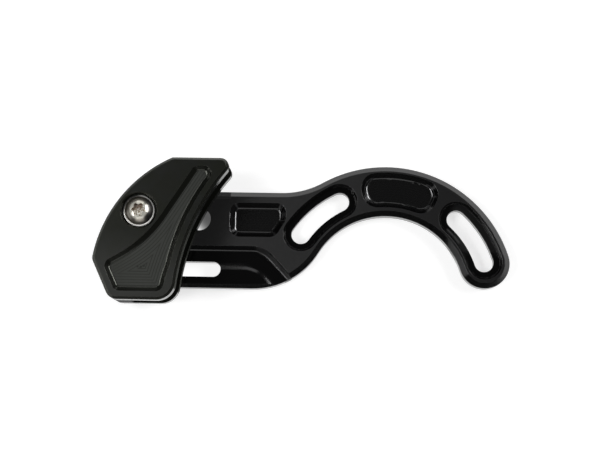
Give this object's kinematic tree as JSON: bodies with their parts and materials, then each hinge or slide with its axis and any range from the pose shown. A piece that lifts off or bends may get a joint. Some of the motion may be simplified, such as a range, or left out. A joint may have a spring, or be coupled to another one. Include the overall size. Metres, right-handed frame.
{
  "type": "bicycle chain guide",
  "caption": "Chain guide with a hook-shaped slotted mounting arm and a two-plate channel that keeps a bicycle chain on its ring, set in or out on a clamped slide.",
  "frame": {"origin": "centre of the bolt circle on the arm's back face", "axes": "+X along the bar from the guide towards the hook, +Y towards the bar's upper edge, +Z out of the arm's front face, past the chain"},
  "size_m": [0.1339, 0.0469, 0.0243],
  "materials": {
    "arm_alloy": "black anodised, fine blasted face",
    "plate_alloy": "black anodised, milled",
    "bridge_nylon": "moulded black nylon",
    "stainless": "turned stainless steel"
  },
  "bodies": {
    "arm": {"mounting_arm": "arm_alloy"},
    "guide": {"inner_guide_plate": "plate_alloy", "chain_bridge": "bridge_nylon", "outer_guide_plate": "plate_alloy", "clamp_screw": "stainless", "slide_nut": "stainless", "locating_dowels": "stainless"}
  },
  "joints": [
    {"name": "guide_slide", "type": "slide", "parent": "arm", "child": "guide", "axis": [1, 0, 0], "range_m": [0, 0.0174]}
  ]
}
